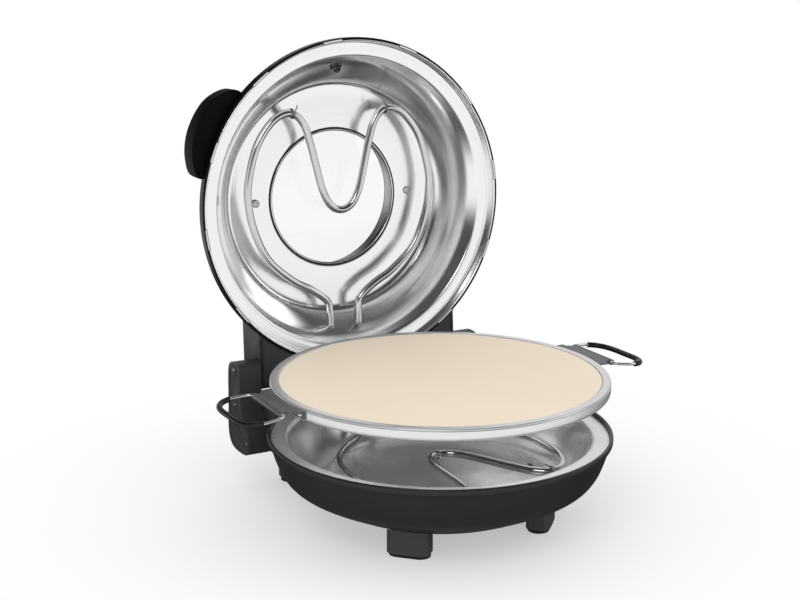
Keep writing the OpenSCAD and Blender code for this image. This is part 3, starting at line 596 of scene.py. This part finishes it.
# %% [markdown]
# ## Lid dome and liner
# The dome is black outside, with a straight side behind its rim. The bright liner inside has a rolled hem, a short
# upright wall, a flat flange, a long cove and a disc with the window hole. Both are spun as if the lid were shut, and
# then swung open with it.

# %% Lid dome
dome_rim = smooth([(164.5, 3.5), (164.4, 1.5), (164.6, 0.5), (165.1, 0.1), (165.7, 0.15), (166.1, 0.5),
    (lid_r, 1.4), (lid_r, 3.0)], 4)
dome_side = smooth([(lid_r, 3.6), (lid_r, 8.8), (166.0, 10.0), (164.9, 10.9), (162.6, 11.8), (159.8, 14.4),
    (156, 20), (150.3, 30), (144.6, 40), (138.4, 50), (131.6, 60), (124.5, 68), (116.5, 74.5), (106.5, 79.5),
    (96, 82.6), (86, 84.2), (80, 84.6)], 4)
dome_hole = [Vector((75.7, 84.6)), Vector((75.7, 83.0))]
dome_back = list(reversed(beside(dome_side[20:], 1.4)))
dome_lip = [Vector((163.8, 10.6)), Vector((163.8, 6.2))]
dome = spun("lid_dome", dome_rim + dome_side + dome_hole + dome_back + dome_lip, 224)
fit(seat(dome, lid_place), dome_finish, "lid", "black_enamel", "lid_shell")

# %% Lid liner
hem = smooth([(164.25, 0.8), (164.1, 0.35), (163.6, 0.1), (163.1, 0.25), (162.5, 0.8), (162.2, 1.7)], 3)
flange = [Vector(p) for p in [(161.3, 8.0), (161.0, 8.7), (160.3, 9.0), (159, 9.05), (154, 9.25), (149.6, 9.5)]]
cove = smooth([(148.6, 9.8), (147.7, 10.6), (145.6, 13.4), (141.6, 19), (137.6, 26), (133.4, 34), (129.2, 41.5),
    (124.9, 48.6), (121.2, 53.4), (117, 56.2), (111.5, disc_h)], 6)
disc = [Vector(p) for p in [(104, disc_h), (92, disc_h), (78, disc_h), (74.4, disc_h), (72.6, disc_h + 0.2),
    (71.8, disc_h + 0.7)]]
liner = spun("lid_liner_sheet", sheet(hem + flange + cove + disc, -0.8), 224)
fit(seat(liner, lid_place), liner_finish, "lid", "liner_steel", "lid_liner")

# %% [markdown]
# Twelve small bright tabs sit evenly round the rim, where the liner meets the dome, each in a dark slot a little
# larger than itself. One of each is a cube with rounded ends, cut crosswise and wrapped to the round of the rim. The
# others are turned copies, each with its own mesh.

# %% Rim tabs and their slots
tab_r, tab_count, first_tab = 164.2, 12, 22


def rim_mark(width, length, thick, height):
    clear_selection()
    bpy.ops.mesh.primitive_cube_add(size=1)
    mark = bpy.context.object
    mark.scale = (width * mm, length * mm, thick * mm)
    mark.location = (tab_r * mm, 0, height * mm)
    bpy.ops.object.transform_apply(location=True, rotation=False, scale=True)
    corners = mark.modifiers.new("round ends", "BEVEL")
    corners.width = width * 0.42 * mm
    corners.segments = 4
    corners.limit_method = "WEIGHT"
    weights = mark.data.attributes.new("bevel_weight_edge", "FLOAT", "EDGE")
    for edge in mark.data.edges:
        a, b = (mark.data.vertices[v].co for v in edge.vertices)
        weights.data[edge.index].value = 1.0 if abs(a.z - b.z) > 1e-6 else 0.0
    bpy.ops.object.modifier_apply(modifier=corners.name)
    bpy.ops.object.mode_set(mode="EDIT")
    for cut in range(-4, 5):
        bpy.ops.mesh.select_all(action="SELECT")
        bpy.ops.mesh.bisect(plane_co=(0, cut * length * 0.1 * mm, 0), plane_no=(0, 1, 0))
    bpy.ops.object.mode_set(mode="OBJECT")
    for corner in mark.data.vertices:
        turn, reach = corner.co.y / (tab_r * mm), corner.co.x
        corner.co.x, corner.co.y = reach * math.cos(turn), reach * math.sin(turn)
    bpy.ops.object.shade_smooth_by_angle(angle=math.radians(50))
    return mark


def rim_marks(name, width, length, thick, height):
    marks = [rim_mark(width, length, thick, height)]
    while len(marks) < tab_count:
        copy = marks[0].copy()
        copy.data = marks[0].data.copy()
        bpy.context.scene.collection.objects.link(copy)
        marks.append(copy)
    for i, mark in enumerate(marks):
        seat(mark, Matrix.Rotation(math.radians(360 / tab_count * i + first_tab), 4, "Z"))
    return seat(joined(name, marks), lid_place)


fit(rim_marks("lid_tabs", 1.6, 20.4, 1.3, 0.4), tab_finish, "lid", "bright_steel", "lid_rim_tabs")
fit(rim_marks("lid_tab_slots", 2.6, 21.8, 1.1, 0.42), rubber_finish, "lid", "black_enamel")

# %% [markdown]
# ## Window
# The glass lies on the disc of the liner, in a black seal. A steel sleeve leads through the dome to a black trim, and
# shows behind the glass at the far side.

# %% Window
glass_low = disc_h + 1.3
pane = spun("window_pane", [Vector(p) for p in [(0, glass_low), (71.6, glass_low), (73.0, glass_low + 0.8),
    (73.0, glass_low + 3.2), (72.2, glass_low + 4), (0, glass_low + 4)]], 160)
fit(seat(pane, lid_place), glass_finish, "lid", "glass", "lid_window_glass")
seal_spots = [(69.2, 57.5), (69.4, 57.0), (70.0, 57.2), (70.9, 56.7), (71.8, 56.4), (72.6, 56.7), (72.3, 57.6),
    (70.0, 58.2)]
seal = spun("window_seal", smooth(seal_spots, 4, True), 160)
fit(seat(seal, lid_place), rubber_finish, "lid", "rubber", "lid_window_gasket")
ring_spots = [(69.7, 56.8), (70.3, 56.35), (70.9, 56.6), (70.7, 57.3), (70.0, 57.4)]
ring = spun("window_ring", smooth(ring_spots, 4, True), 160)
fit(seat(ring, lid_place), bright_finish, "lid", "bright_steel")
dress("lid_window_sleeve", sleeve_finish)
dress("lid_window_trim", cover_finish)

# %% [markdown]
# ## Lid handle
# The handle is a flat D with full, rounded faces. A circle is moved onto its outline, filled, drawn up to its
# thickness, and its edges are rounded until the side is nearly a half round.

# %% Lid handle
handle_spots = [(-5, 45.2), (6.4, 44), (14, 40.6), (19.2, 36.2), (20.6, 31.2), (20, 26.2), (17.6, 21.8),
    (13.6, 17.8), (6.4, 13.4), (-5, 12)]
handle_line = []
for reach, angle in handle_spots:
    a = math.radians(180 + angle)
    handle_line.append(((lid_r + reach) * math.cos(a), (lid_r + reach) * math.sin(a)))
handle_line = smooth(handle_line, 6)
from_angle, to_angle = handle_spots[-1][1], handle_spots[0][1]
inner_r = lid_r + handle_spots[0][0]
inner_line = []
for i in range(9):
    a = math.radians(180 + from_angle + i * (to_angle - from_angle) / 8)
    inner_line.append(Vector((inner_r * math.cos(a), inner_r * math.sin(a))))
outline = handle_line + inner_line[1:-1]
handle_low, handle_thick = 8.4, 22.6
clear_selection()
bpy.ops.mesh.primitive_circle_add(vertices=len(outline), radius=0.01, fill_type="NGON")
grip = bpy.context.object
for corner, place in zip(grip.data.vertices, outline):
    corner.co = (place.x * mm, place.y * mm, handle_low * mm)
bpy.ops.object.mode_set(mode="EDIT")
bpy.ops.mesh.select_all(action="SELECT")
bpy.ops.mesh.extrude_region_move(TRANSFORM_OT_translate={"value": (0, 0, handle_thick * mm)})
bpy.ops.mesh.select_all(action="SELECT")
bpy.ops.mesh.normals_make_consistent(inside=False)
bpy.ops.object.mode_set(mode="OBJECT")
bevel = grip.modifiers.new("full round", "BEVEL")
bevel.width = 5.5 * mm
bevel.segments = 6
bevel.limit_method = "ANGLE"
bevel.angle_limit = math.radians(60)
bpy.ops.object.modifier_apply(modifier=bevel.name)
bpy.ops.object.shade_smooth_by_angle(angle=math.radians(40))
grip.name = "lid_grip"
fit(seat(grip, lid_place), handle_finish, "lid", "handle_plastic", "lid_handle")

# %% [markdown]
# ## Tray and stone
# The tray is rolled from thin steel. Its rim turns in over the edge of the stone, with a soft round on the outside.

# %% Tray
pan_low = tray_top - tray_h
pan_side = smooth([(tray_r - 4.4, pan_low), (tray_r - 2.2, pan_low + 0.15), (tray_r - 0.8, pan_low + 1.0),
    (tray_r - 0.1, pan_low + 2.6), (tray_r, pan_low + 4.4), (tray_r, tray_top - 3.4), (tray_r - 0.05, tray_top - 2.6),
    (tray_r - 0.5, tray_top - 2.2), (tray_r - 0.1, tray_top - 1.7), (tray_r - 0.3, tray_top - 0.8),
    (tray_r - 1.3, tray_top - 0.1), (tray_r - 3, tray_top), (tray_r - 6.4, tray_top), (tray_r - 7.7, tray_top - 0.3),
    (tray_r - 8.0, tray_top - 1.1)], 4)
pan_sheet = [Vector((0, pan_low)), Vector((60, pan_low)), Vector((120, pan_low))] + pan_side
pan_back = [Vector(p) for p in [(tray_r - 7.7, tray_top - 1.5), (tray_r - 6.2, tray_top - 1.3),
    (tray_r - 2.4, tray_top - 1.3), (tray_r - 1.4, tray_top - 2.4), (tray_r - 1.3, pan_low + 3.0),
    (tray_r - 2.6, pan_low + 1.2), (120, pan_low + 1.1), (0, pan_low + 1.1)]]
pan = spun("tray_sheet", pan_sheet + pan_back, 224)
fit(seat(pan, tray_place), tray_finish, "tray", "tray_steel", "tray_pan")

# %% [markdown]
# The stone lies in the tray with its edge under the turned-in rim, and only its top, with a broken edge, shows.

# %% Baking stone
stone_top = tray_top - 0.6
stone_r = tray_r - tray_rim - 0.4
disc_line = [Vector(p) for p in [(0, pan_low + 1.5), (tray_r - 3, pan_low + 1.5), (tray_r - 2, pan_low + 2.5),
    (tray_r - 2, tray_top - 3), (tray_r - 3, tray_top - 2), (stone_r, tray_top - 2)]]
disc_edge = smooth([(stone_r, tray_top - 1.6), (stone_r - 0.15, stone_top - 0.35), (stone_r - 0.7, stone_top),
    (stone_r - 3, stone_top)], 4)
slab = spun("stone_slab", disc_line + disc_edge + [Vector((100, stone_top)), Vector((0, stone_top))], 224)
fit(seat(slab, tray_place), stone_finish, "tray", "stone", "stone")

# %% [markdown]
# ## Wire handles
# Each handle is one wire, bent to a rounded D, with a black sleeve over its outer part. Both droop a little from
# their pivots.

# %% Wire handles
bail_half, sleeve_thick = 40.0, 1.3
half_bail = [(0, -20), (0, -27), (0, -33), (1.8, -36.6), (7, -38.6), (16, -bail_half), (24, -bail_half + 1),
    (31, -bail_half + 5), (36, -bail_half + 13), (38, -bail_half + 24)]
bail_line = smooth(half_bail + [(38, 0)] + [(x, -y) for x, y in reversed(half_bail)], 6)
grip_line = bail_line[34:-34]
for side, word in ((-1, "left"), (1, "right")):
    place = (
        tray_place
        @ Matrix.Translation((side * pivot_x * mm, 0, pivot_z * mm))
        @ Matrix.Rotation(math.radians(side * droop), 4, "Y")
    )
    wire = rod(word + "_handle_wire", [(side * p.x, p.y, 0) for p in bail_line], wire_r, 5)
    fit(seat(wire, place), bright_finish, "handle_" + word, "wire_steel", "bail_" + word)
    sleeve = rod(word + "_handle_sleeve", [(side * p.x, p.y, 0) for p in grip_line], wire_r + sleeve_thick, 5)
    fit(seat(sleeve, place), grip_finish, "handle_" + word, "grip_black", "grip_" + word)

# %% [markdown]
# ## Moulded pieces
# Feet, hinge blocks, their covers, the lid bracket and the rear housing keep the CAD model's shape and get soft
# edges. The brackets of the tray are bent sheet, so their edges are only just broken.

# %% Moulded pieces
for node in ("foot_front_left", "foot_front_right", "foot_rear_left", "foot_rear_right"):
    fit(softened(node, 2.4, 5), foot_finish, "base", "foot_plastic", node)
for node in ("hinge_block_left", "hinge_block_right"):
    fit(softened(node, 1.2), hinge_finish, "base", "hinge_plastic", node)
for node in ("block_cover_left", "block_cover_right"):
    fit(softened(node, 0.5), cover_finish, "base", "hinge_plastic", node)
fit(softened("rear_housing", 1.0), hinge_finish, "base", "hinge_plastic", "rear_housing")
fit(softened("lid_tower", 1.6), hinge_finish, "lid", "hinge_plastic", "lid_tower")
fit(softened("lid_tower_cover", 0.6), cover_finish, "lid", "hinge_plastic", "lid_tower_cover")
for word in ("left", "right"):
    fit(softened("bracket_" + word, 0.3, 2), bracket_finish, "tray", "bracket_grey", "bracket_" + word)

# %% [markdown]
# Where the side walls of the lid bracket meet its front panel there is a gap as wide as a pencil line.
# A near-black strip in each joint is painted shade that stands in for the shadow in that gap.

# %% Painted shade in the joints of the lid bracket
lines = []
for side in (-1, 1):
    clear_selection()
    bpy.ops.mesh.primitive_cube_add(size=1)
    strip = bpy.context.object
    strip.scale = (3.2 * mm, 44 * mm, 0.6 * mm)
    strip.rotation_euler = (math.radians(-1.37), 0, 0)
    strip.location = (side * 109.6 * mm, 151.5 * mm, 99.35 * mm)
    bpy.ops.object.transform_apply(location=True, rotation=True, scale=True)
    rounded = strip.modifiers.new("soft edge", "BEVEL")
    rounded.width = 0.2 * mm
    bpy.ops.object.modifier_apply(modifier=rounded.name)
    lines.append(strip)
flat_lid = lid_place @ Matrix.Translation((0, 0, -lid_z * mm))
# The joined near-black strips are painted shade for the shaded gaps at the joints.
fit(seat(joined("lid_bracket_joints", lines), flat_lid), rubber_finish, "lid", "hinge_plastic")

# %% [markdown]
# Small fasteners and hidden pieces keep their CAD shape, which is fine enough at their size, and get a finish.

# %% Small pieces
for node in ("base_dish_screws", "foot_screws", "bottom_plate_screws", "block_screws", "block_mount_screws",
        "hinge_pins", "lid_liner_screws", "lid_handle_screws", "lid_tower_screws", "base_heater_bushes",
        "lid_heater_bushes"):
    dress(node, screw_finish)
dress("lid_clip_bolt", nut_finish)
dress("bracket_rivets", bright_finish)
for node in ("terminal_block", "base_thermal_fuse"):
    dress(node, ceramic_finish)
for node in ("rear_bottom_plate", "cord_inlet", "base_thermostat"):
    dress(node, cover_finish)
dress("foot_pads", rubber_finish)
print("small pieces dressed")

# %% [markdown]
# The photograph shows no stone and no tray mirrored in the lid or in the dish, so the lifted tray, its stone, brackets
# and wire handles are kept out of glossy rays. They still cast their shadow and light their surroundings.

# %% Tray kept out of the mirrors
for piece in bpy.data.objects:
    if piece.type == "MESH" and piece.name.startswith(("tray_sheet", "stone_slab", "soft_bracket", "left_handle",
            "right_handle")):
        piece.visible_glossy = False
        print(piece.name, "shows in no reflection")

# %% [markdown]
# ## Floor, light and background
# The floor is a plain pale plane that fades to pure white away from the appliance, so no horizon shows. The steel in
# the photograph mirrors something dark behind the appliance and white all round, so glossy rays see the floor that
# way: `mirrored` is nearly black round a spot behind the appliance and white further out.

# %% Floor
clear_selection()
bpy.ops.mesh.primitive_plane_add(size=120)
floor = bpy.context.object
floor.name = "floor"
floor_finish = Finish("floor", (0.93, 0.93, 0.93), 0.9)
eased = {"interpolation_type": "SMOOTHSTEP"}
pure_white = (1, 1, 1, 1)
away = floor_finish.node("ShaderNodeVectorMath", {"operation": "LENGTH"})
floor_finish.feed(away.inputs[0], floor_finish.where())
# The floor glows white: 45 percent glow out to 0.16 m from the middle, all glow from 0.55 m out. The glow lightens the
# shadow under the appliance and lights it from below.
fade = floor_finish.node("ShaderNodeMapRange", eased, Value=away.outputs["Value"], From_Min=0.16, From_Max=0.55,
    To_Min=0.45, To_Max=1.0)
glow = floor_finish.node("ShaderNodeEmission", Color=pure_white, Strength=1.0)
blend_in = floor_finish.node("ShaderNodeMixShader")
# Painted reflection: only glossy rays see the floor nearly black round a spot behind the appliance, where nothing dark
# stands.
behind = floor_finish.node("ShaderNodeVectorMath", {"operation": "DISTANCE"})
floor_finish.feed(behind.inputs[0], floor_finish.where())
behind.inputs[1].default_value = (0.22, 0.34, 0)
reflected_dark_spot = floor_finish.node("ShaderNodeMapRange", eased, Value=behind.outputs["Value"], From_Min=0.45, From_Max=0.85,
    To_Min=0.05, To_Max=1.0)
mirrored = floor_finish.node("ShaderNodeEmission", Color=pure_white, Strength=reflected_dark_spot.outputs[0])
either_view = floor_finish.node("ShaderNodeMixShader")
ray = floor_finish.node("ShaderNodeLightPath")
for socket, value in (
    (blend_in.inputs[0], fade.outputs[0]),
    (blend_in.inputs[1], floor_finish.shader.outputs[0]),
    (blend_in.inputs[2], glow.outputs[0]),
    (either_view.inputs[0], ray.outputs["Is Glossy Ray"]),
    (either_view.inputs[1], blend_in.outputs[0]),
    (either_view.inputs[2], mirrored.outputs[0]),
    (floor_finish.tree.nodes["Material Output"].inputs["Surface"], either_view.outputs[0]),
):
    floor_finish.feed(socket, value)
floor.data.materials.append(floor_finish.material)
print("floor ready")

# %% [markdown]
# The world lights everything softly and is white to the camera and through the glass. Polished metal sees it white
# near the horizon and below it, and dark above, as in a studio with a dark ceiling, with one soft box high up behind.
# That gives the lid its long dark gradients and the dish its bright ones.

# %% World
world = bpy.data.worlds.new("studio")
bpy.context.scene.world = world
world.use_nodes = True
tree = world.node_tree
tree.nodes.clear()


def add(kind, **settings):
    made = tree.nodes.new(kind)
    for key, value in settings.items():
        setattr(made, key, value)
    return made


out = add("ShaderNodeOutputWorld")
soft = add("ShaderNodeBackground")
white = add("ShaderNodeBackground")
studio = add("ShaderNodeBackground")
path = add("ShaderNodeLightPath")
way = add("ShaderNodeTexCoord")
split = add("ShaderNodeSeparateXYZ")
height = add("ShaderNodeMapRange", interpolation_type="SMOOTHSTEP")
toward = add("ShaderNodeVectorMath", operation="DOT_PRODUCT")
box = add("ShaderNodeMapRange", interpolation_type="SMOOTHSTEP")
brighter = add("ShaderNodeMath", operation="MAXIMUM")
either = add("ShaderNodeMath", operation="MAXIMUM")
first = add("ShaderNodeMixShader")
second = add("ShaderNodeMixShader")
for background, strength in ((soft, 0.95), (white, 1.0)):
    background.inputs["Color"].default_value = pure_white
    background.inputs["Strength"].default_value = strength
for mapped, values in ((height, (0.01, 0.22, 1.0, 0.07)), (box, (0.8, 0.92, 0.0, 1.0))):
    for socket, value in zip(("From Min", "From Max", "To Min", "To Max"), values):
        mapped.inputs[socket].default_value = value
toward.inputs[1].default_value = Vector((0.45, 0.62, 0.64)).normalized()
for start, end in (
    (way.outputs["Generated"], split.inputs[0]),
    (split.outputs["Z"], height.inputs["Value"]),
    (way.outputs["Generated"], toward.inputs[0]),
    (toward.outputs["Value"], box.inputs["Value"]),
    (height.outputs[0], brighter.inputs[0]),
    (box.outputs[0], brighter.inputs[1]),
    (brighter.outputs[0], studio.inputs["Strength"]),
    (path.outputs["Is Camera Ray"], either.inputs[0]),
    (path.outputs["Is Transmission Ray"], either.inputs[1]),
    (path.outputs["Is Glossy Ray"], first.inputs["Fac"]),
    (soft.outputs[0], first.inputs[1]),
    (studio.outputs[0], first.inputs[2]),
    (either.outputs[0], second.inputs["Fac"]),
    (first.outputs[0], second.inputs[1]),
    (white.outputs[0], second.inputs[2]),
    (second.outputs[0], out.inputs["Surface"]),
):
    tree.links.new(start, end)
print("world ready")

# %% [markdown]
# Two large, weak lamps stand in front, left and right, and give the moulded pieces their soft highlights.


# %% Lamps
def lamp(name, place, aim, size, power):
    light = bpy.data.lights.new(name, "AREA")
    light.shape = "RECTANGLE"
    light.size, light.size_y = size
    light.energy = power
    stand = bpy.data.objects.new(name, light)
    stand.location = place
    heading = Vector(aim) - Vector(place)
    stand.rotation_euler = heading.to_track_quat("-Z", "Y").to_euler()
    bpy.context.scene.collection.objects.link(stand)


lamp("key", (-1.2, -1.3, 1.6), (0, 0, 0.1), (1.2, 0.9), 9)
lamp("fill", (1.6, -0.9, 0.9), (0, 0, 0.15), (1.0, 0.8), 4)
bpy.context.scene.view_settings.view_transform = "Standard"
print("studio ready")
